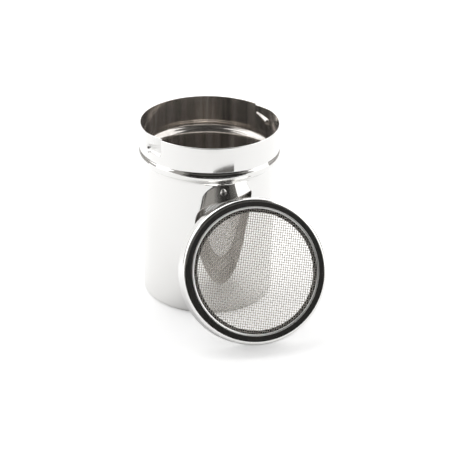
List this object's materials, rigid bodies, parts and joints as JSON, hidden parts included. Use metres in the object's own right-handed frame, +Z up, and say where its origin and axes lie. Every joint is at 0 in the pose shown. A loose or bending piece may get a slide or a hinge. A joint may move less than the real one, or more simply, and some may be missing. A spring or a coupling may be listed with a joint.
{
  "type": "spice shaker with a mesh lid",
  "caption": "Round stainless steel canister for spice, flour or cocoa, with a beaded bayonet collar and a separate woven-mesh sprinkling lid that leans against it.",
  "frame": {"origin": "centre of the canister's flat base, on the surface it stands on", "axes": "+Z up along the canister's axis; the lid leans on the -Y side, turned towards +X"},
  "size_m": [0.0979, 0.1144, 0.096],
  "materials": {
    "canister_steel": "polished stainless steel",
    "lid_steel": "polished stainless steel",
    "mesh_wire": "bright drawn stainless wire"
  },
  "bodies": {
    "canister": {"canister_body": "canister_steel"},
    "lid": {"lid_cap": "lid_steel", "mesh_clamp_ring": "lid_steel", "mesh_weft_wires": "mesh_wire", "mesh_warp_wires": "mesh_wire"}
  },
  "joints": [
    {"name": "lid_pick_up", "type": "slide", "parent": "canister", "child": "lid", "axis": [0.1935, -0.873, 0.4478], "range_m": [0, 0.06]}
  ]
}
